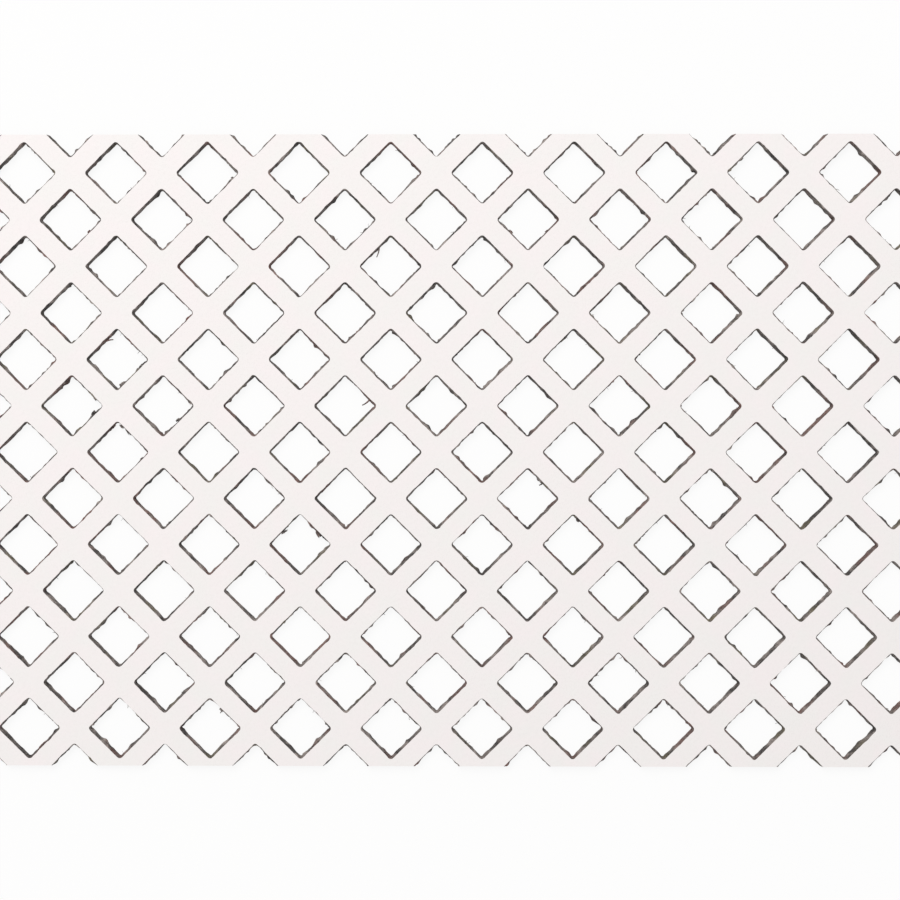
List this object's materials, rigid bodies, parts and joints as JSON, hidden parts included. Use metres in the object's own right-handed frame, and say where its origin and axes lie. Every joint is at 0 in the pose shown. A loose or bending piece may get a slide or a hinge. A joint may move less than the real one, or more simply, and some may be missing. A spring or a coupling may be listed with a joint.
{
  "type": "decorative fibreboard panel",
  "caption": "Thin fibreboard sheet, painted white on one face and pierced by a lattice of square holes set on their corners, for screens, grilles and door infill.",
  "frame": {"origin": "centre of the back face, which lies on the floor", "axes": "+X along the sheet, +Y across it and up in the picture, +Z out of the painted face"},
  "size_m": [0.6, 0.3, 0.003],
  "materials": {
    "painted_board": "matt white paint on the face, raw brown fibre on the cut walls and the back"
  },
  "bodies": {
    "root": {"panel": "painted_board"}
  },
  "joints": []
}
